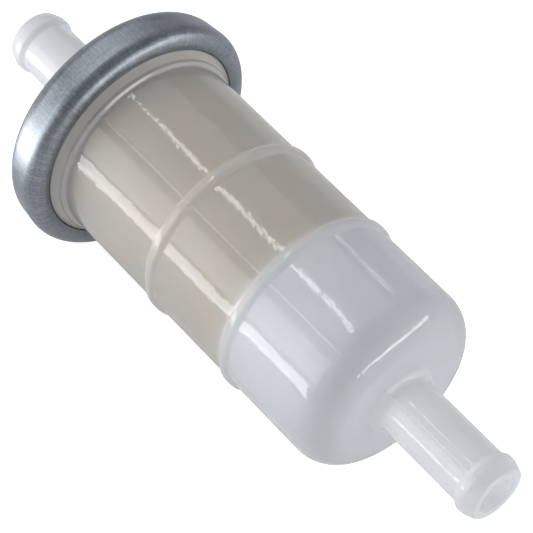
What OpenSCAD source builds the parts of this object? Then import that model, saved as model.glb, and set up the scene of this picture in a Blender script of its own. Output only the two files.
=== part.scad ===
// In-line fuel filter for a small petrol engine.
// A moulded bowl with a hose stub holds a pleated paper element. A moulded cap
// with a second hose stub closes it, and one crimped steel ring clamps the bowl's
// flange, the element's rim, two gaskets and the cap's flange into one stack.
//
// The filter's axis is +X, from the cap to the bowl's dome. The origin is on the
// axis, midway between the two ribs that locate the holding band.

/* [Crimp ring] */
// Outside diameter at the ring's front edge
ring_d = 40; // [39.6:0.1:42]
// Outside diameter at the ring's back edge, where it narrows slightly
ring_back_d = 39.5; // [39.3:0.1:39.6]
// Length of the ring along the axis
ring_w = 7.95; // [7.95:0.05:9]
// Thickness of the ring's steel sheet
ring_sheet = 0.8; // [0.7:0.05:0.8]
// Radius of the rolled front edge
ring_front_roll = 2.3; // [2.1:0.1:2.5]
// Radius of the rolled back edge
ring_back_roll = 3.2; // [3:0.1:3.3]
// Diameter of the openings that the rolled edges leave
ring_lip_d = 33.6; // [33.5:0.05:33.8]

/* [Bowl] */
// Outside diameter of the bowl's wall next to its flange
bowl_d = 30.2; // [30:0.1:30.6]
// Outside diameter of the bowl's wall next to its dome
bowl_dome_d = 29.8; // [29.4:0.1:30]
// Inside diameter of the bowl
bowl_bore_d = 26.8; // [26.6:0.1:27]
// Distance from the ring's lip to the first rib
rib_setback = 21.9; // [20:0.1:23]
// Distance between the two ribs, which is the room for the holding band
clip_band = 16.9; // [14:0.1:18]
// Distance from the second rib to the dome's end face
dome_reach = 20.2; // [19:0.1:24]
// Corner radius of the dome
dome_corner = 5.4; // [5:0.1:6.5]
// Thickness of the dome's end wall
dome_wall = 1.6; // [1.4:0.1:2]
// Height of each rib over the wall
rib_h = 0.5; // [0.4:0.05:0.8]
// Radius of each rib's rounded section
rib_r = 1.0; // [0.9:0.05:1.2]

/* [Hose stubs] */
// Outside diameter of each stub
stub_d = 9; // [8.8:0.1:9.2]
// Diameter of the hose-retaining bead
bead_d = 10; // [9.8:0.1:10.4]
// Diameter of the fuel passage through each stub
passage_d = 6; // [5:0.1:6.4]
// Length of the bowl's stub from the dome
bowl_stub_len = 19.6; // [16:0.1:24]
// Length of the cap's stub from the cap's face
cap_stub_len = 19.7; // [16:0.1:24]
// Radius of the fillet at the root of each stub
stub_fillet = 1.8; // [1:0.1:2]

/* [Clamped stack] */
// Diameter of the two flanges inside the ring
flange_d = 37.8; // [37.6:0.1:37.8]
// Thickness of the bowl's flange
bowl_flange_t = 2; // [1.8:0.05:2]
// Thickness of the cap's flange
cap_flange_t = 1.95; // [1.8:0.05:1.95]
// Thickness of each gasket
gasket_t = 0.7; // [0.5:0.05:0.7]
// Thickness of the element's sheet plates
plate_t = 0.6; // [0.4:0.05:0.6]

/* [Paper element] */
// Distance from the ring's lip to the far face of the element
element_reach = 37.7; // [30:0.1:40]
// Outside diameter of the pleats
pleat_d = 24.9; // [24:0.1:25]
// Inside diameter of the pleats
pleat_bore_d = 14.2; // [14:0.1:14.6]
// Number of pleats
pleats = 40; // [34:1:40]
// Thickness of the paper
paper_t = 0.35; // [0.25:0.05:0.35]
// Width of each pleat at its outer fold
pleat_tip_w = 1.5; // [1.2:0.05:1.5]
// Width of each pleat at its root
pleat_root_w = 0.95; // [0.9:0.01:0.96]
// Thickness of the adhesive at each end of the paper
potting_t = 1.6; // [1:0.1:2]
// Outside diameter of the core tube
core_d = 13.2; // [12.8:0.1:13.2]
// Number of windows round the core tube
core_windows = 6; // [4:1:8]
// Number of rows of windows along the core tube
core_rows = 7; // [4:1:8]

/* [Hidden] */

$fn = 96;
milky_plastic = [0.84, 0.85, 0.88];
zinc_steel = [0.58, 0.61, 0.65];
black_rubber = [0.10, 0.10, 0.11];
tan_paper = [0.72, 0.64, 0.50];
pale_nylon = [0.86, 0.84, 0.78];
amber_adhesive = [0.62, 0.52, 0.34];
bright_steel = [0.75, 0.75, 0.76];

gap = 0.05;                                   // play between pieces that only rest on each other

// Stations along the axis, from the dome back to the cap
rib_x = clip_band / 2;
dome_x = rib_x + dome_reach;
bowl_tip_x = dome_x + bowl_stub_len;
lip_x = -rib_x - rib_setback;                 // inner edge of the ring's front lip
lip_rise = 0.35;                              // the front roll stands this far over the lip's edge
ring_front_x = lip_x + lip_rise;
ring_back_x = ring_front_x - ring_w;
flange_face_x = lip_x - ring_sheet - gap;
bowl_seat_x = flange_face_x - bowl_flange_t;
plate_front_x = bowl_seat_x - gasket_t;
plate_back_x = plate_front_x - plate_t;
cap_seat_x = plate_back_x - gasket_t;
cap_flange_x = cap_seat_x - cap_flange_t;
cap_rise = 0.4;                               // the cap's face stands this far behind the ring
cap_face_x = ring_back_x - cap_rise;
cap_tip_x = cap_face_x - cap_stub_len;

// Radii
flange_r = flange_d / 2;
bowl_bore_r = bowl_bore_d / 2;
passage_r = passage_d / 2;
stub_r = stub_d / 2;
bead_r = bead_d / 2;
collar_r = ring_lip_d / 2 - 0.15;             // the bowl's collar fills the ring's opening
back_roll_r = ring_back_d / 2 - ring_back_roll;   // centre of the back roll's section
back_roll_x = ring_back_x + ring_back_roll;

// Element
plate_rim_r = 13.0;                           // upturned rim that holds the adhesive
plate_rim_t = 0.4;
plate_rim_h = 2.6;
outlet_hole_r = 5;                            // hole in the top plate, from the core to the cap
element_end_x = lip_x + element_reach;
bottom_plate_x = element_end_x - plate_t;
paper_start_x = plate_front_x + potting_t;
paper_end_x = bottom_plate_x - potting_t;
core_wall = 0.6;
clip_sheet = 0.25;
clip_depth = 2.6;                             // how far the clip reaches down its pleat

// Turns a half section, drawn as [radius, x], round the filter's axis
module turned() {
    rotate([0, 90, 0]) rotate_extrude() children();
}

// A rectangle of the half section
module band(r_in, r_out, x_low, x_high) {
    translate([r_in, x_low]) square([r_out - r_in, x_high - x_low]);
}

// A round disc or ring of rectangular section
module washer(r_in, r_out, x_low, x_high) {
    turned() band(r_in, r_out, x_low, x_high);
}

// Half section of a hose stub from its root at y = 0 to its tip at y = len
module stub_section(len) {
    shoulder = 3.7;                           // start of the bead, from the tip
    land_low = 2.9;
    land_high = 1.9;
    tip_r = 4.4;
    tip_round = 0.3;
    band(0, stub_r, 0, len - 1);
    polygon([[0, len - shoulder], [stub_r, len - shoulder], [bead_r, len - land_low],
             [bead_r, len - land_high], [tip_r, len - tip_round], [tip_r - tip_round, len], [0, len]]);
    difference() {
        band(0, stub_r + stub_fillet, 0, stub_fillet);
        translate([stub_r + stub_fillet, stub_fillet]) circle(stub_fillet);
    }
}

// Half section of the ring's outline, drawn t inside its outer face
module ring_outline(t) {
    front_r = ring_front_roll - t;
    back_r = ring_back_roll - t;
    front_c = [ring_d / 2 - ring_front_roll, ring_front_x - ring_front_roll];
    back_c = [back_roll_r, back_roll_x];
    translate(front_c) circle(front_r);
    translate(back_c) circle(back_r);
    polygon([[back_c[0], back_c[1] - back_r], back_c + [back_r, 0], front_c + [front_r, 0],
             [front_c[0], front_c[1] + front_r], [0, front_c[1] + front_r], [0, back_c[1] - back_r]]);
}

// Sheet-steel ring, rolled over the two flanges
module crimp_ring() {
    lip_r = ring_lip_d / 2;
    fold_r = ring_d / 2 - ring_front_roll;
    color(zinc_steel) turned() {
        difference() {
            ring_outline(0);
            ring_outline(ring_sheet);
            band(0, lip_r, ring_back_x - 1, ring_front_x + 1);
            band(0, fold_r, ring_front_x - ring_front_roll, ring_front_x + 1);
        }
        polygon([[lip_r, lip_x], [lip_r, lip_x - ring_sheet],
                 [fold_r, ring_front_x - ring_sheet], [fold_r, ring_front_x]]);
    }
}

// Half section of the bowl's outside
module bowl_outside() {
    wall_r = bowl_d / 2;
    dome_r = bowl_dome_d / 2;
    corner_x = dome_x - dome_corner;
    flange_corner = 1.2;
    collar_fillet = 1.2;
    fillet_x = lip_x + (collar_r - wall_r) + collar_fillet * (sqrt(2) - 1);
    foot = collar_fillet * (1 - sqrt(0.5));   // where the fillet leaves the collar's 45 degree cone
    // Wall and dome
    polygon([[0, bowl_seat_x], [wall_r, bowl_seat_x], [wall_r, fillet_x], [dome_r, corner_x],
             [dome_r - dome_corner, dome_x], [0, dome_x]]);
    translate([dome_r - dome_corner, corner_x]) circle(dome_corner);
    // Flange, rounded to lie in the ring's front roll
    band(0, flange_r, bowl_seat_x, flange_face_x - flange_corner);
    band(0, flange_r - flange_corner, bowl_seat_x, flange_face_x);
    translate([flange_r - flange_corner, flange_face_x - flange_corner])
        intersection() {
            circle(flange_corner);
            square(flange_corner);
        }
    // Conical collar with a fillet into the wall
    difference() {
        polygon([[0, flange_face_x], [collar_r, flange_face_x], [collar_r, lip_x],
                 [wall_r + foot, lip_x + collar_r - wall_r - foot], [wall_r + foot, fillet_x],
                 [0, fillet_x]]);
        translate([wall_r + collar_fillet, fillet_x]) circle(collar_fillet);
    }
    // Two ribs that keep the holding band in place
    for (x = [-rib_x, rib_x])
        translate([wall_r - (wall_r - dome_r) / 2 + rib_h - rib_r, x]) circle(rib_r);
    translate([0, dome_x]) stub_section(bowl_stub_len);
}

// Half section of the space inside the bowl, with its stub's passage
module bowl_inside() {
    inner_corner = dome_corner - dome_wall;
    inner_x = dome_x - dome_wall;
    band(0, bowl_bore_r, bowl_seat_x - 1, inner_x - inner_corner);
    band(0, bowl_bore_r - inner_corner, bowl_seat_x - 1, inner_x);
    translate([bowl_bore_r - inner_corner, inner_x - inner_corner]) circle(inner_corner);
    band(0, passage_r, 0, bowl_tip_x + 1);
}

// Moulded bowl: flange, collar, two ribs, dome and hose stub
module bowl() {
    color(milky_plastic) turned() difference() {
        bowl_outside();
        bowl_inside();
        translate([-100, bowl_seat_x - 100]) square([100, 200]);
    }
}

// Half section of the cap's outside
module cap_outside() {
    crown_r = 15.4;                           // the raised middle, inside the ring's back lip
    crown_corner = 1.2;
    // Flange, rounded to lie in the ring's back roll
    band(0, back_roll_r, cap_flange_x + gap, cap_seat_x);
    intersection() {
        translate([back_roll_r, back_roll_x]) circle(ring_back_roll - ring_sheet - gap);
        band(0, flange_r, cap_flange_x, cap_seat_x);
    }
    band(0, crown_r - crown_corner, cap_face_x, cap_seat_x);
    band(0, crown_r, cap_face_x + crown_corner, cap_seat_x);
    translate([crown_r - crown_corner, cap_face_x + crown_corner]) circle(crown_corner);
    translate([0, cap_face_x]) mirror([0, 1]) stub_section(cap_stub_len);
}

// Moulded cap: flange, raised crown and hose stub
module cap() {
    dish_r = 12;
    dish_x = cap_face_x + 1.6;
    color(milky_plastic) turned() difference() {
        cap_outside();
        band(0, dish_r, dish_x, cap_seat_x + 1);
        band(0, passage_r, cap_tip_x - 1, cap_seat_x + 1);
        translate([-100, cap_tip_x - 1]) square([100, 100]);
    }
}

// Flat rubber rings on either side of the element's rim
module bowl_gasket() {
    color(black_rubber) washer(bowl_bore_r + 1.6, flange_r - 0.3, plate_front_x, bowl_seat_x);
}

module cap_gasket() {
    color(black_rubber) washer(bowl_bore_r + 1.6, flange_r - 0.3, cap_seat_x, plate_back_x);
}

// Element's top plate: its rim is clamped, and its hole leads to the cap
module element_top_plate() {
    color(pale_nylon) turned() {
        band(outlet_hole_r, flange_r - 0.3, plate_back_x, plate_front_x);
        band(plate_rim_r - plate_rim_t, plate_rim_r, plate_back_x, plate_front_x + plate_rim_h);
    }
}

// Element's closed bottom plate with its rim
module element_bottom_plate() {
    color(pale_nylon) turned() {
        band(0, plate_rim_r, bottom_plate_x, element_end_x);
        band(plate_rim_r - plate_rim_t, plate_rim_r, element_end_x - plate_rim_h, element_end_x);
    }
}

// Point of the pleats' section at radius r, w to the side of the angle a
function pleat_point(r, a, w) = let (b = a + asin(w / r)) [r * cos(b), r * sin(b)];

// Closed outline of the pleats' outer or inner face: each pleat gives four corners
function pleat_outline(tip_r, tip_w, root_r, root_w) = [
    for (i = [0:pleats - 1])
        for (corner = [[tip_r, 0, -tip_w], [tip_r, 0, tip_w], [root_r, 0.5, -root_w], [root_r, 0.5, root_w]])
            pleat_point(corner[0], (i + corner[1]) * 360 / pleats, corner[2])
];

// Pleated filter paper
module pleated_paper() {
    tip_r = pleat_d / 2;
    root_r = pleat_bore_d / 2;
    channel_w = 2 * PI * (root_r + paper_t) / pleats - pleat_root_w;
    color(tan_paper) translate([paper_start_x, 0, 0]) rotate([0, 90, 0])
        linear_extrude(paper_end_x - paper_start_x) difference() {
            polygon(pleat_outline(tip_r, pleat_tip_w / 2, root_r + paper_t, channel_w / 2));
            polygon(pleat_outline(tip_r - paper_t, pleat_tip_w / 2 - paper_t,
                                  root_r, channel_w / 2 + paper_t));
        }
}

// Core tube that carries the paper: a tube with rows of windows
module core_tube() {
    core_r = core_d / 2;
    length = bottom_plate_x - plate_front_x;
    row_pitch = length / core_rows;
    window_w = 4;
    window_l = row_pitch - 1.6;
    color(pale_nylon) difference() {
        washer(core_r - core_wall, core_r, plate_front_x, bottom_plate_x);
        for (row = [0:core_rows - 1])
            for (i = [0:core_windows - 1])
                translate([plate_front_x + (row + 0.5) * row_pitch, 0, 0])
                    rotate([i * 360 / core_windows, 0, 0])
                        translate([-window_l / 2, -window_w / 2, core_r - 2])
                            cube([window_l, window_w, 4]);
    }
}

// Rings of adhesive that hold the paper's ends in the plates
module top_potting() {
    color(amber_adhesive)
        washer(core_d / 2 + gap, plate_rim_r - plate_rim_t - gap, plate_front_x, paper_start_x);
}

module bottom_potting() {
    color(amber_adhesive)
        washer(core_d / 2 + gap, plate_rim_r - plate_rim_t - gap, paper_end_x, bottom_plate_x);
}

// Cross-section that follows one pleat's two flanks from low_r to high_r, t outside the paper
module pleat_wedge(low_r, high_r, t) {
    root_r = pleat_bore_d / 2 + paper_t;
    flare = (pleat_tip_w - pleat_root_w) / 2 / (pleat_d / 2 - root_r);
    low_w = pleat_root_w / 2 + (low_r - root_r) * flare + t;
    high_w = pleat_root_w / 2 + (high_r - root_r) * flare + t;
    polygon([[low_r, -low_w], [high_r, -high_w], [high_r, high_w], [low_r, low_w]]);
}

// Folded steel strip that grips the pleat where the paper's two ends meet, at the
// bottom of the filter
module seam_clip() {
    top_r = pleat_d / 2 + gap;
    low_r = top_r - clip_depth;
    low_x = plate_front_x + plate_rim_h + 0.3;
    high_x = element_end_x - plate_rim_h - 0.3;
    color(bright_steel) translate([low_x, 0, 0]) rotate([0, 90, 0])
        linear_extrude(high_x - low_x) difference() {
            pleat_wedge(low_r, top_r + clip_sheet, gap / 2 + clip_sheet);
            pleat_wedge(low_r - 1, top_r, gap / 2);
        }
}

bowl();
cap();
crimp_ring();
bowl_gasket();
cap_gasket();
element_top_plate();
element_bottom_plate();
pleated_paper();
core_tube();
top_potting();
bottom_potting();
seam_clip();
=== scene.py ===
"""Looks of the in-line fuel filter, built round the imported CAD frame."""
import math
import random

import bmesh
import bpy
from mathutils import Matrix, Vector


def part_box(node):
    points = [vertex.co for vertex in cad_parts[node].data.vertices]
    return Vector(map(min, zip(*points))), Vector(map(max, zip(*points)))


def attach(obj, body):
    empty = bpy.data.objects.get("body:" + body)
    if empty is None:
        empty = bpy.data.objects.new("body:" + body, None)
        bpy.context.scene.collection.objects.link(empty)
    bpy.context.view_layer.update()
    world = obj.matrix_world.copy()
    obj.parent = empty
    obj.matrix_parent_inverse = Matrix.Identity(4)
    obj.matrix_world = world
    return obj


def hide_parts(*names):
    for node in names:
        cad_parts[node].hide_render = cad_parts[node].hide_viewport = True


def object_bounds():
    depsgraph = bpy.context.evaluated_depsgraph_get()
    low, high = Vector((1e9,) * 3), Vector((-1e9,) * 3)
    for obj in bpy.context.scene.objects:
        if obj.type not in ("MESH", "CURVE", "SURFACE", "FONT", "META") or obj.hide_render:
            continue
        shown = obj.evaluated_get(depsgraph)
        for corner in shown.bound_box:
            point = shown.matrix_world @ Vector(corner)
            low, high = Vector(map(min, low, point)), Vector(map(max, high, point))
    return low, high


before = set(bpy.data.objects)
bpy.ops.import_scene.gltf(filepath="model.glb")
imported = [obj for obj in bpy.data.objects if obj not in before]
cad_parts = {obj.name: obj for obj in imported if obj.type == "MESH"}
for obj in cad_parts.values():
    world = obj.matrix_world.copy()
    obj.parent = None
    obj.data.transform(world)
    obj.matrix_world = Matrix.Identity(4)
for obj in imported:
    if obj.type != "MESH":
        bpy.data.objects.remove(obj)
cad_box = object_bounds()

MM = 0.001
TAU = 2 * math.pi
FIT_GAP = 0.05  # between a flange and the ring's sheet, in mm


# ---------------------------------------------------------------- sizes from the frame, in mm

def span(node):
    """(lowest x, highest x, largest radius) of a CAD node in mm."""
    low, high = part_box(node)
    return low[0] / MM, high[0] / MM, high[1] / MM


RING_BACK, RING_FRONT, RING_R = span("crimp_ring")
BOWL_SEAT, BOWL_TIP, FLANGE_R = span("bowl")
CAP_TIP, CAP_SEAT, CAP_FLANGE_R = span("cap")
PAPER_START, PAPER_END, PLEAT_R = span("pleated_paper")

# The ring
RING_SHEET = 0.8
RING_BACK_R = RING_R - 0.25
FRONT_ROLL = 2.3
BACK_ROLL = 3.2
LIP_R = 16.8
LIP_X = RING_FRONT - 0.35

# The bowl
WALL_R = 15.1
DOME_R = 14.9
BORE_R = 13.4
COLLAR_R = LIP_R - 0.15
COLLAR_CHAMFER = 0.95
COLLAR_FOOT_R = COLLAR_R - 1.0
COLLAR_FOOT_X = LIP_X + 1.75
FACE_X = LIP_X - RING_SHEET - FIT_GAP
RIB_X = 8.45
RIB_H = 0.5
RIB_HALF = 1.1
RIB_TOP_HALF = 0.5
WALL_TAPER = 0.03
STUB_LEN = 19.6
DOME_X = BOWL_TIP - STUB_LEN
DOME_WALL = 1.6
DOME_CORNER = 5.4

# The mould's parting line
PARTING_DEG = 120.5
PARTING_H = 0.05
PARTING_HALF = 0.13

# The stubs; places along them are measured back from the tip
STUB_R = 4.5
BEAD_R = 5.0
BEAD_FOOT = 3.75
BEAD_START = 2.9
BEAD_END = 1.9
TIP_R = 4.1
TIP_CHAMFER = 0.25
TIP_CHAMFER_R = 4.42
PASSAGE_R = 3.0
STUB_FILLET = 1.8

# The cap
CAP_STUB_LEN = 19.7
CAP_FACE = CAP_TIP + CAP_STUB_LEN
CROWN_R = 15.4
DISH_R = 12.0
DISH_FLOOR = 1.6

# The pleated paper
PLEATS = 40
PAPER_T = 0.35
PLEAT_ROOT_R = 7.1
PLEAT_STATIONS = 25


# ---------------------------------------------------------------- outlines

def rounded(corners, turn_step=7.0, longest=1.6):
    """Closed outline [(x, r)] through corners [(x, r, radius)], each rounded by an arc."""
    outline = []
    count = len(corners)
    for i in range(count):
        before = Vector(corners[i - 1][:2])
        here = Vector(corners[i][:2])
        after = Vector(corners[(i + 1) % count][:2])
        to_before = (before - here).normalized()
        to_after = (after - here).normalized()
        inside = to_before.angle(to_after)
        turn = math.pi - inside
        room = min(share(corners[i - 1], corners[i]), share(corners[(i + 1) % count], corners[i]))
        tangent = min(corners[i][2] * math.tan(turn / 2), room)
        if tangent < 1e-6:
            outline.append(here)
            continue
        radius = tangent / math.tan(turn / 2)
        centre = here + (to_before + to_after).normalized() * (radius / math.cos(turn / 2))
        start = here + to_before * tangent - centre
        end = here + to_after * tangent - centre
        sweep = start.angle_signed(end)
        steps = max(2, math.ceil(math.degrees(abs(sweep)) / turn_step))
        for s in range(steps + 1):
            angle = -sweep * s / steps
            c, d = math.cos(angle), math.sin(angle)
            outline.append(centre + Vector((start.x * c - start.y * d, start.x * d + start.y * c)))
    return refined(outline, longest)


def share(neighbour, corner):
    """How much of the edge to its neighbour a corner's arc may take."""
    length = math.dist(neighbour[:2], corner[:2])
    return 0.98 * length * corner[2] / max(corner[2] + neighbour[2], 1e-6)


def arc_corners(x, r, radius, start, end, step=6.0):
    """Corners of no radius along an arc about (x, r), from start to end in degrees from +X."""
    steps = max(2, math.ceil(abs(end - start) / step))
    angles = [math.radians(start + (end - start) * k / steps) for k in range(steps + 1)]
    return [(x + radius * math.cos(a), r + radius * math.sin(a), 0.0) for a in angles]


def refined(outline, longest):
    """The closed outline with no edge longer than longest."""
    fine = []
    for a, b in zip(outline, outline[1:] + outline[:1]):
        gap = (b - a).length
        if gap < 1e-5:
            continue
        parts = max(1, math.ceil(gap / longest))
        fine += [a.lerp(b, k / parts) for k in range(parts)]
    return fine


def stub_corners(root_x, tip_x, root_r):
    """Outline corners of a hose stub from its root fillet to its passage, along +X or -X."""
    out = 1 if tip_x > root_x else -1
    return [
        (root_x, root_r, STUB_FILLET),
        (tip_x - BEAD_FOOT * out, STUB_R, 0.7),
        (tip_x - BEAD_START * out, BEAD_R, 0.7),
        (tip_x - BEAD_END * out, BEAD_R, 1.2),
        (tip_x - TIP_CHAMFER * out, TIP_CHAMFER_R, 0.5),
        (tip_x, TIP_R, 0.3),
        (tip_x, PASSAGE_R, 0.3),
    ]


def rib_corners(x, wall_r):
    """Outline corners of one rib that runs into the wall with small fillets."""
    return [
        (x - RIB_HALF, wall_r, 0.5),
        (x - RIB_TOP_HALF, wall_r + RIB_H, 0.7),
        (x + RIB_TOP_HALF, wall_r + RIB_H, 0.7),
        (x + RIB_HALF, wall_r, 0.5),
    ]


def bowl_outline():
    wall_mid = (WALL_R + DOME_R) / 2
    inner_x = DOME_X - DOME_WALL
    corners = [
        (BOWL_SEAT, FLANGE_R, 0.25),
        (FACE_X, FLANGE_R, 1.2),
        (FACE_X, COLLAR_R, 0.1),
        (LIP_X, COLLAR_R, 0.12),
        (LIP_X + COLLAR_CHAMFER, COLLAR_R - COLLAR_CHAMFER, 0.3),
        (COLLAR_FOOT_X - 0.3, COLLAR_FOOT_R, 0.25),
        (COLLAR_FOOT_X, WALL_R, 0.3),
    ]
    corners += rib_corners(-RIB_X, wall_mid + WALL_TAPER)
    corners += rib_corners(RIB_X, wall_mid - WALL_TAPER)
    corners.append((DOME_X, DOME_R, DOME_CORNER))
    corners += stub_corners(DOME_X, BOWL_TIP, STUB_R)
    corners += [
        (inner_x, PASSAGE_R, 0.4),
        (inner_x, BORE_R, DOME_CORNER - DOME_WALL),
        (BOWL_SEAT, BORE_R, 0.2),
    ]
    return rounded(corners)


def cap_outline():
    back = RING_BACK + RING_SHEET + FIT_GAP
    dish_x = CAP_FACE + DISH_FLOOR
    corners = [
        (CAP_SEAT, CAP_FLANGE_R, 0.2),
        (back, CAP_FLANGE_R, 1.75),
        (back, CROWN_R, 0.2),
        (CAP_FACE, CROWN_R, 1.0),
    ]
    corners += stub_corners(CAP_FACE, CAP_TIP, STUB_R)
    corners += [
        (dish_x, PASSAGE_R, 0.4),
        (dish_x, DISH_R, 0.8),
        (CAP_SEAT, DISH_R, 0.2),
    ]
    return rounded(corners)


def ring_outline():
    front = (RING_FRONT - FRONT_ROLL, RING_R - FRONT_ROLL)
    back = (RING_BACK + BACK_ROLL, RING_BACK_R - BACK_ROLL)
    outer_end = 180 - math.degrees(math.asin((LIP_R - back[1]) / BACK_ROLL))
    inner_end = 180 - math.degrees(math.asin((LIP_R - back[1]) / (BACK_ROLL - RING_SHEET)))
    corners = [(LIP_X, LIP_R, 0.15)]
    corners += arc_corners(*front, FRONT_ROLL, 0, 90)
    corners += arc_corners(*back, BACK_ROLL, 90, outer_end)
    corners += arc_corners(*back, BACK_ROLL - RING_SHEET, inner_end, 90)
    corners += arc_corners(*front, FRONT_ROLL - RING_SHEET, 90, 0)
    corners.append((LIP_X - RING_SHEET, LIP_R, 0.15))
    return rounded(corners)


# ---------------------------------------------------------------- meshes

def even_angles(count):
    return [TAU * i / count for i in range(count)]


def with_parting(count):
    """Even angles with extra ones close to the two mould parting lines."""
    lines = [math.radians(PARTING_DEG), math.radians(PARTING_DEG + 180)]
    close = [math.radians(d) for d in (-1.2, -0.75, -0.42, -0.2, 0.0, 0.2, 0.42, 0.75, 1.2)]
    angles = [a for a in even_angles(count) if min(abs(a - m) for m in lines) > math.radians(1.5)]
    return sorted(angles + [m + c for m in lines for c in close])


def lathe(name, outline, angles, shape=None):
    """Turns a closed outline [(x, r)] in mm round the X axis. shape(x, r, angle) may move a point."""
    bm = bmesh.new()
    rings = []
    for angle in angles:
        c, s = math.cos(angle), math.sin(angle)
        ring = []
        for x, r in outline:
            px, pr = shape(x, r, angle) if shape else (x, r)
            ring.append(bm.verts.new((px * MM, pr * c * MM, pr * s * MM)))
        rings.append(ring)
    n = len(outline)
    for i, ring in enumerate(rings):
        after = rings[(i + 1) % len(rings)]
        for j in range(n):
            k = (j + 1) % n
            bm.faces.new((ring[j], ring[k], after[k], after[j]))
    return finished(name, bm)


def finished(name, bm):
    bmesh.ops.recalc_face_normals(bm, faces=bm.faces)
    for face in bm.faces:
        face.smooth = True
    mesh = bpy.data.meshes.new(name)
    bm.to_mesh(mesh)
    bm.free()
    piece = bpy.data.objects.new(name, mesh)
    bpy.context.scene.collection.objects.link(piece)
    return piece


def parting_shape(x_from, x_to):
    """Raises the mould parting lines a little over the outside between two stations."""
    lines = (math.radians(PARTING_DEG), math.radians(PARTING_DEG + 180))

    def shape(x, r, angle):
        if r < STUB_R - 0.3 or not x_from < x < x_to or r > LIP_R:
            return x, r
        if r <= BORE_R + 0.2 and x < DOME_X - DOME_WALL + 0.1:
            return x, r
        off = min(abs(angle - line) for line in lines) * r
        return x, r + PARTING_H * max(0.0, 1 - off / PARTING_HALF)
    return shape


def lip_shape(x, r, angle):
    """The ring's sheared lip edge is slightly uneven."""
    if r > LIP_R + 0.35:
        return x, r
    wave = sum(math.sin(k * angle + k * k) / k for k in (5, 9, 14, 23, 37))
    return x, r + 0.05 * wave


# ---------------------------------------------------------------- pleated paper

def pleat_line(rng):
    """Centre line of the folded paper round the axis, as a closed outline with rounded folds."""
    tip_r = PLEAT_R - PAPER_T / 2 - 0.03
    root_r = PLEAT_ROOT_R + PAPER_T / 2
    corners = []
    for i in range(PLEATS):
        a = TAU * i / PLEATS
        tip = tip_r - rng.uniform(0.0, 0.14)
        half = rng.uniform(0.5, 0.6)
        lean = rng.uniform(-0.006, 0.006)
        corners += [(tip, a + lean - half / tip, 0.3), (tip, a + lean + half / tip, 0.3)]
        mid = a + TAU / PLEATS / 2
        corners += [(root_r, mid - 0.016, 0.1), (root_r, mid + 0.016, 0.1)]
    flat = [(r * math.cos(a), r * math.sin(a), radius) for r, a, radius in corners]
    return rounded(flat, turn_step=22, longest=1.3)


def pleated_paper():
    """Folded paper: the centre line thickened, carried along X with slightly wandering folds."""
    line = pleat_line(random.Random(7))
    n = len(line)
    offsets = []
    for i in range(n):
        along = (line[(i + 1) % n] - line[i - 1]).normalized()
        offsets.append(Vector((along.y, -along.x)) * (PAPER_T / 2))
    bm = bmesh.new()
    rows = []
    for k in range(PLEAT_STATIONS):
        x = PAPER_START + (PAPER_END - PAPER_START) * k / (PLEAT_STATIONS - 1)
        outer, inner = [], []
        for p, off in zip(line, offsets):
            angle = math.atan2(p.y, p.x)
            sway = 0.004 * math.sin(0.23 * x + 5 * angle) + 0.003 * math.sin(0.41 * x + 11 * angle + 1)
            c, s = math.cos(sway), math.sin(sway)
            for q, side in ((p + off, outer), (p - off, inner)):
                y, z = q.x * c - q.y * s, q.x * s + q.y * c
                side.append(bm.verts.new((x * MM, y * MM, z * MM)))
        rows.append((outer, inner))
    for a, b in zip(rows, rows[1:]):
        for i in range(n):
            j = (i + 1) % n
            bm.faces.new((a[0][i], a[0][j], b[0][j], b[0][i]))
            bm.faces.new((a[1][j], a[1][i], b[1][i], b[1][j]))
    for outer, inner in (rows[0], rows[-1]):
        for i in range(n):
            j = (i + 1) % n
            bm.faces.new((outer[i], outer[j], inner[j], inner[i]))
    return finished("pleated_paper_folds", bm)


# ---------------------------------------------------------------- materials

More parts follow.
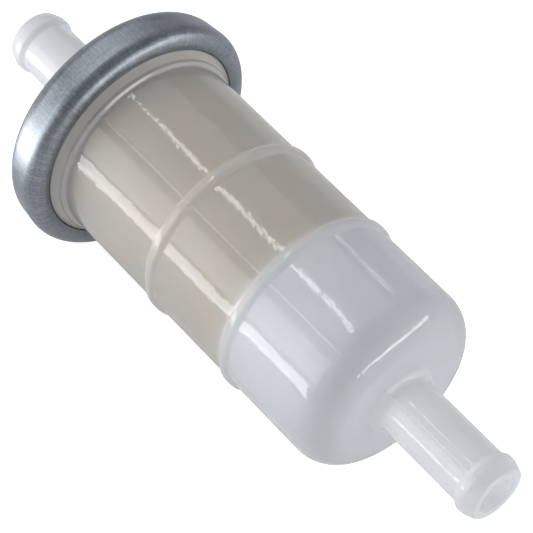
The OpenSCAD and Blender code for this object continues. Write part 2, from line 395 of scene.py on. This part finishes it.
class Nodes:
    """A small helper that adds and links nodes of one material."""

    def __init__(self, name):
        self.material = bpy.data.materials.new(name)
        self.material.use_nodes = True
        self.tree = self.material.node_tree
        self.tree.nodes.clear()
        self.output = self.tree.nodes.new("ShaderNodeOutputMaterial")

    def add(self, kind, settings=None, **inputs):
        node = self.tree.nodes.new("ShaderNode" + kind)
        for key, value in (settings or {}).items():
            setattr(node, key, value)
        for key, value in inputs.items():
            self.feed(node.inputs[key.replace("_", " ")], value)
        return node

    def feed(self, socket, value):
        """Links an output to the socket, or sets the socket's own value."""
        if isinstance(value, bpy.types.NodeSocket):
            self.tree.links.new(value, socket)
        else:
            socket.default_value = value

    def place(self, stretch=(1, 1, 1)):
        """Object coordinates in mm, scaled along each axis."""
        coords = self.add("TexCoord")
        scale = tuple(s / MM for s in stretch)
        mapping = self.add("Mapping", Scale=scale, Vector=coords.outputs["Object"])
        return mapping.outputs[0]

    def place_round(self, stretch):
        """Coordinates (x, arc length round the axis, radius) in mm, scaled along each."""
        x, y, z = self.add("SeparateXYZ", Vector=self.place()).outputs
        angle = self.math("ARCTAN2", y, z)
        squares = self.math("ADD", self.math("POWER", y, 2.0), self.math("POWER", z, 2.0))
        along = self.math("MULTIPLY", x, stretch[0])
        arc = self.math("MULTIPLY", angle, RING_R * stretch[1])
        radius = self.math("MULTIPLY", self.math("SQRT", squares), stretch[2])
        return self.add("CombineXYZ", X=along, Y=arc, Z=radius).outputs[0]

    def noise(self, vector, scale, detail=3.0, rough=0.5):
        node = self.add("TexNoise", Vector=vector, Scale=scale, Detail=detail, Roughness=rough)
        return node.outputs["Fac"]

    def ramp(self, value, low, high, out_low, out_high):
        """Runs from out_low to out_high as value runs from low to high, and is held beyond them."""
        node = self.add("MapRange", Value=value, From_Min=low, From_Max=high, To_Min=out_low, To_Max=out_high)
        return node.outputs[0]

    def mix(self, factor, a, b):
        node = self.add("Mix", {"data_type": "RGBA"})
        for index, value in ((0, factor), (6, a), (7, b)):
            self.feed(node.inputs[index], value)
        return node.outputs[2]

    def math(self, operation, a, b=0.0):
        node = self.add("Math", {"operation": operation})
        for socket, value in zip(node.inputs, (a, b)):
            self.feed(socket, value)
        return node.outputs[0]

    def bump(self, height, depth, normal=None):
        """A bump up to depth in mm, on top of the bump that normal comes from."""
        node = self.add("Bump", Height=height, Distance=depth * MM, Strength=1.0)
        if normal is not None:
            self.tree.links.new(normal, node.inputs["Normal"])
        return node.outputs[0]

    def finish(self, shader):
        self.tree.links.new(shader, self.output.inputs["Surface"])
        return self.material


# Grey of the painted shade on the dome's corner
DOME_PAINTED_SHADE = (0.66, 0.66, 0.66, 1)
STEEL_DARK = (0.21, 0.235, 0.27, 1)
STEEL_LIGHT = (0.29, 0.32, 0.36, 1)
STEEL_SCRATCH = (0.55, 0.58, 0.62, 1)
STEEL_GRIT = (0.60, 0.62, 0.64, 1)
PAPER_DARK = (0.66, 0.48, 0.25, 1)
PAPER_LIGHT = (0.74, 0.56, 0.32, 1)
PAPER_FIBRE = (0.84, 0.70, 0.46, 1)


def scaled(colour, factors):
    """An RGBA colour from an RGB one with each channel multiplied by its factor."""
    return tuple(c * f for c, f in zip(colour, factors)) + (1,)


def milky_plastic(name, transmission, passed, light, paper_shade, shade_from, shade_to):
    """Cloudy polymer under a glossy skin.

    passed is the part of a lamp's light that gets through one surface. From shade_from to shade_to
    along X the plastic takes paper_shade from the paper behind it. A painted shade greys the dome's corner.
    These tints only change along X, so they are the same all round the part.
    """
    m = Nodes(name)
    place = m.place()
    cloud = m.noise(place, 0.10, 3)
    patch = m.noise(place, 0.17, 2)
    fine = m.noise(place, 1.9, 4)
    x = m.add("SeparateXYZ", Vector=place).outputs[0]

    plain = m.mix(m.ramp(cloud, 0.35, 0.65, 0, 1), scaled(light, (0.96, 0.96, 0.96)), light + (1,))
    # Painted shade: the plastic greys towards the dome's corner, and half as much over the dome's flat face
    corner = m.math("MULTIPLY", m.ramp(x, DOME_X - 9, DOME_X - 2, 0, 0.45),
                    m.ramp(x, DOME_X - 1, DOME_X + 0.5, 1, 0.5))
    corner = m.math("MULTIPLY", corner, m.ramp(x, DOME_X + 0.5, DOME_X + 3, 1, 0))
    plain = m.mix(corner, plain, DOME_PAINTED_SHADE)
    warm = scaled(paper_shade, (1.03, 0.99, 0.96))
    tint = m.mix(m.ramp(patch, 0.45, 0.65, 0, 1), paper_shade + (1,), warm)
    shade = m.math("MULTIPLY", m.ramp(x, shade_from, shade_from + 0.8, 0, 1),
                   m.ramp(x, shade_to, shade_to + 1, 1, 0))
    shade = m.math("MULTIPLY", shade, m.ramp(cloud, 0.3, 0.7, 0.85, 1))
    colour = m.mix(shade, plain, tint)

    wave = m.bump(m.noise(m.place((0.5, 1, 1)), 0.5, 2), 0.02)
    pits = m.bump(m.noise(place, 1.4, 1), 0.016, wave)
    grain = m.bump(fine, 0.006, pits)
    shader = m.add("BsdfPrincipled", Base_Color=colour, Roughness=m.ramp(fine, 0.3, 0.7, 0.54, 0.62),
                   IOR=1.5, Normal=grain, Transmission_Weight=transmission,
                   Coat_Weight=1.0, Coat_Roughness=0.06, Coat_Normal=grain)
    clear = m.add("BsdfTransparent", Color=(passed, passed, passed, 1))
    through = m.add("MixShader")
    is_shadow = m.add("LightPath").outputs["Is Shadow Ray"]
    for index, value in enumerate((is_shadow, shader.outputs[0], clear.outputs[0])):
        m.feed(through.inputs[index], value)
    return m.finish(through.outputs[0])


def zinc_steel():
    """Plated sheet with fine scratches round the ring and across it."""
    m = Nodes("zinc_steel")
    place = m.place()
    cloud = m.noise(place, 0.22, 4)
    grit = m.noise(place, 2.6, 5, 0.7)
    around = m.noise(m.place_round((4.0, 0.12, 4.0)), 1.0, 4, 0.7)
    across = m.noise(m.place_round((0.15, 4.2, 0.15)), 1.0, 4, 0.75)
    colour = m.mix(m.ramp(cloud, 0.3, 0.7, 0, 1), STEEL_DARK, STEEL_LIGHT)
    colour = m.mix(m.ramp(around, 0.5, 0.72, 0, 0.25), colour, STEEL_SCRATCH)
    colour = m.mix(m.ramp(across, 0.48, 0.68, 0, 0.4), colour, STEEL_SCRATCH)
    colour = m.mix(m.ramp(grit, 0.48, 0.65, 0, 0.35), colour, STEEL_GRIT)
    rough = m.ramp(grit, 0.35, 0.65, 0.3, 0.46)
    bump = m.bump(around, 0.02)
    bump = m.bump(across, 0.014, bump)
    bump = m.bump(grit, 0.015, bump)
    shader = m.add("BsdfPrincipled", Base_Color=colour, Metallic=1.0, Roughness=rough, Normal=bump)
    return m.finish(shader.outputs[0])


def filter_paper():
    """Tan paper with stains and lengthwise fibres."""
    m = Nodes("filter_paper")
    fibre = m.noise(m.place((1, 0.5, 0.5)), 2.2, 5, 0.65)
    stain = m.noise(m.place(), 0.07, 3)
    colour = m.mix(m.ramp(stain, 0.35, 0.65, 0, 1), PAPER_DARK, PAPER_LIGHT)
    colour = m.mix(m.ramp(fibre, 0.35, 0.7, 0, 0.35), colour, PAPER_FIBRE)
    rough = m.ramp(fibre, 0.3, 0.7, 0.8, 0.95)
    shader = m.add("BsdfPrincipled", Base_Color=colour, Roughness=rough, Normal=m.bump(fibre, 0.05))
    return m.finish(shader.outputs[0])


def plain_finish(name, dark, light, rough, grain_scale, depth, metallic=0.0):
    """A finish with a cloudy colour, uneven roughness and a fine grain."""
    m = Nodes(name)
    place = m.place()
    grain = m.noise(place, grain_scale, 4)
    colour = m.mix(m.ramp(m.noise(place, 0.2, 3), 0.35, 0.65, 0, 1), dark + (1,), light + (1,))
    spread = m.ramp(grain, 0.3, 0.7, rough - 0.07, rough + 0.07)
    shader = m.add("BsdfPrincipled", Base_Color=colour, Roughness=spread, Metallic=metallic,
                   Normal=m.bump(grain, depth))
    return m.finish(shader.outputs[0])


def floor_finish():
    """Pale floor that glows a little, and more where it is seen directly, so that it shows white."""
    m = Nodes("studio_floor")
    glow = m.ramp(m.add("LightPath").outputs["Is Camera Ray"], 0, 1, 0.14, 0.7)
    shader = m.add("BsdfPrincipled", Base_Color=(0.84, 0.84, 0.84, 1), Roughness=0.9,
                   Emission_Color=(1, 1, 1, 1), Emission_Strength=glow)
    return m.finish(shader.outputs[0])


# ---------------------------------------------------------------- pieces

def add_piece(piece, material, slot, *nodes):
    """Puts a finished piece on the body in place of the CAD nodes."""
    piece.data.materials.append(material)
    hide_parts(*nodes)
    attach(piece, "root")


def thicken(piece, material, is_thick):
    """Gives the faces where is_thick(x, r) holds a finish of their own, because thick plastic is milkier."""
    slot = len(piece.data.materials)
    piece.data.materials.append(material)
    for face in piece.data.polygons:
        x, y, z = face.center / MM
        if is_thick(x, math.hypot(y, z)):
            face.material_index = slot


def on_rib(x, r):
    return min(abs(x - RIB_X), abs(x + RIB_X)) < RIB_HALF and r > WALL_R - 0.3


def on_collar_or_stub(x, r):
    return x < COLLAR_FOOT_X or (x > DOME_X - DOME_WALL and r < STUB_R + 1.2)


def make_pieces():
    wall = milky_plastic("milky_plastic", transmission=0.55, passed=0.94,
                         light=(0.83, 0.85, 0.905), paper_shade=(0.67, 0.65, 0.60),
                         shade_from=COLLAR_FOOT_X - 0.2, shade_to=PAPER_END + 1.4)
    rib = milky_plastic("milky_plastic_rib", transmission=0.4, passed=0.9,
                        light=(0.86, 0.88, 0.92), paper_shade=(0.76, 0.74, 0.70),
                        shade_from=-RIB_X - 2, shade_to=RIB_X - 0.5)
    thick = milky_plastic("milky_plastic_thick", transmission=0.25, passed=0.85,
                          light=(0.95, 0.965, 0.985), paper_shade=(0.62, 0.60, 0.57),
                          shade_from=BOWL_SEAT, shade_to=COLLAR_FOOT_X + 1)
    bowl = lathe("bowl_moulding", bowl_outline(), with_parting(240),
                 parting_shape(LIP_X + 0.3, BOWL_TIP - 0.5))
    add_piece(bowl, wall, "milky_plastic", "bowl")
    thicken(bowl, thick, on_collar_or_stub)
    thicken(bowl, rib, on_rib)
    cap = lathe("cap_moulding", cap_outline(), with_parting(200),
                parting_shape(CAP_TIP + 0.5, CAP_FACE - 2))
    add_piece(cap, thick, "milky_plastic", "cap")
    ring = lathe("crimp_ring_sheet", ring_outline(), even_angles(320), lip_shape)
    add_piece(ring, zinc_steel(), "zinc_steel", "crimp_ring")
    add_piece(pleated_paper(), filter_paper(), "filter_paper", "pleated_paper")


def dress_cad_nodes():
    """Gives the CAD nodes that stay as they are their finishes."""
    rubber = plain_finish("gasket_rubber", (0.02, 0.02, 0.022), (0.045, 0.045, 0.05), 0.6, 2.0, 0.01)
    nylon = plain_finish("element_nylon", (0.66, 0.62, 0.53), (0.78, 0.75, 0.68), 0.45, 1.5, 0.01)
    glue = plain_finish("potting_adhesive", (0.50, 0.38, 0.20), (0.60, 0.47, 0.27), 0.3, 0.6, 0.05)
    clip = plain_finish("clip_steel", (0.60, 0.60, 0.61), (0.74, 0.74, 0.76), 0.3, 3.0, 0.004, 1.0)
    finishes = {
        "bowl_gasket": rubber,
        "cap_gasket": rubber,
        "element_top_plate": nylon,
        "element_bottom_plate": nylon,
        "core_tube": nylon,
        "top_potting": glue,
        "bottom_potting": glue,
        "seam_clip": clip,
    }
    for name, material in finishes.items():
        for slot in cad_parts[name].material_slots:
            slot.material = material


# ---------------------------------------------------------------- stage, lights and camera

AZIMUTH = 51.2  # degrees; 0 looks along +Y
ELEVATION = 53.1
DISTANCE = 0.3173  # metres
LENS = 149.0  # millimetres
AIM_RIGHT = 0.00266  # metres from the box's centre, in the view
AIM_DOWN = 0.00272
FLOOR_HALF = 3.0
FLOOR_SQUARES = 12


def look_along(direction, right):
    """Rotation of a camera or lamp that faces along direction, with its own X as near right as can be."""
    back = -Vector(direction).normalized()
    right = (right - back * right.dot(back)).normalized()
    return Matrix((right, back.cross(right), back)).transposed().to_euler()


def add_camera():
    az, el = math.radians(AZIMUTH), math.radians(ELEVATION)
    forward = Vector((-math.sin(az) * math.cos(el), math.cos(az) * math.cos(el), -math.sin(el)))
    right = Vector((math.cos(az), math.sin(az), 0))
    down = forward.cross(right)
    centre = (Vector(cad_box[0]) + Vector(cad_box[1])) / 2
    data = bpy.data.cameras.new("camera")
    data.lens = LENS
    data.clip_end = 20
    camera = bpy.data.objects.new("camera", data)
    camera.location = centre + right * AIM_RIGHT + down * AIM_DOWN - forward * DISTANCE
    camera.rotation_euler = look_along(forward, right)
    bpy.context.scene.collection.objects.link(camera)
    bpy.context.scene.camera = camera


def add_floor():
    bm = bmesh.new()
    bmesh.ops.create_grid(bm, x_segments=FLOOR_SQUARES, y_segments=FLOOR_SQUARES, size=FLOOR_HALF)
    floor = finished("floor", bm)
    floor.location.z = cad_box[0][2]
    floor.data.materials.append(floor_finish())


def add_softbox(name, centre, towards, width, height, radiance, long_axis):
    """A rectangular lamp at centre (metres) that shines along towards, with its width along long_axis."""
    data = bpy.data.lights.new(name, "AREA")
    data.shape = "RECTANGLE"
    data.size = width
    data.size_y = height
    data.energy = radiance * math.pi * width * height
    lamp = bpy.data.objects.new(name, data)
    lamp.location = centre
    lamp.rotation_euler = look_along(towards, long_axis)
    lamp.visible_camera = False
    bpy.context.scene.collection.objects.link(lamp)


def add_world():
    """Dim surroundings that grow lighter towards the horizon."""
    world = bpy.data.worlds.new("studio")
    world.use_nodes = True
    tree = world.node_tree
    coords = tree.nodes.new("ShaderNodeTexCoord")
    split = tree.nodes.new("ShaderNodeSeparateXYZ")
    glow = tree.nodes.new("ShaderNodeMapRange")
    glow.interpolation_type = "SMOOTHSTEP"
    for key, number in zip(("From Min", "From Max", "To Min", "To Max"), (0.0, 0.7, 0.36, 0.27)):
        glow.inputs[key].default_value = number
    background = tree.nodes["Background"]
    background.inputs[0].default_value = (0.95, 0.97, 1.0, 1)
    tree.links.new(coords.outputs["Generated"], split.inputs[0])
    tree.links.new(split.outputs["Z"], glow.inputs["Value"])
    tree.links.new(glow.outputs[0], background.inputs[1])
    bpy.context.scene.world = world


def add_lights():
    """Lamps that lie on the table or stand by it, then lamps that face the origin from around it."""
    outward = Vector((-0.48, -0.877, 0))  # away from the part, to the left in the view
    aside = Vector((-0.877, 0.48, 0))
    up = Vector((0, 0, 1))
    floor_z = cad_box[0][2]
    table = up * (floor_z + 0.002)
    add_softbox("left_table_lamp", outward * 0.44 + table, up, 0.42, 0.22, 5.4, outward)
    add_softbox("ring_table_lamp", outward * 0.17 + aside * 0.056 + table, up, 0.18, 0.055, 5.0, outward)
    place = outward * 0.66 + aside * 0.03 + up * (floor_z + 0.045)
    add_softbox("left_softbox", place, -outward, 0.34, 0.085, 4.8, aside)

    level = Vector((1, 0, 0))
    for name, place, width, height, radiance, long_axis in (
        ("left_panel", Vector((-0.495, -0.792, 0.396)), 0.9, 0.5, 1.6, level),
        ("overhead_strip", Vector((-0.353, -0.051, 0.712)), 0.275, 0.045, 6.5, Vector((-0.68, 0.72, -0.135))),
        ("far_strip", Vector((-0.33, 0.60, 0.42)), 0.09, 0.03, 2.2, Vector((-0.5, 0.4, -0.77))),
        ("right_strip", Vector((0.71, 0.30, 0.15)), 1.2, 0.1, 6.5, Vector((-0.6, 0.78, 0))),
        ("sky_panel", Vector((-0.744, 0.12, 0.936)), 1.1, 1.6, 0.7, level),
    ):
        add_softbox(name, place, -place, width, height, radiance, long_axis)


make_pieces()
dress_cad_nodes()
add_camera()
add_floor()
add_world()
add_lights()
bpy.context.scene.view_settings.view_transform = "Standard"
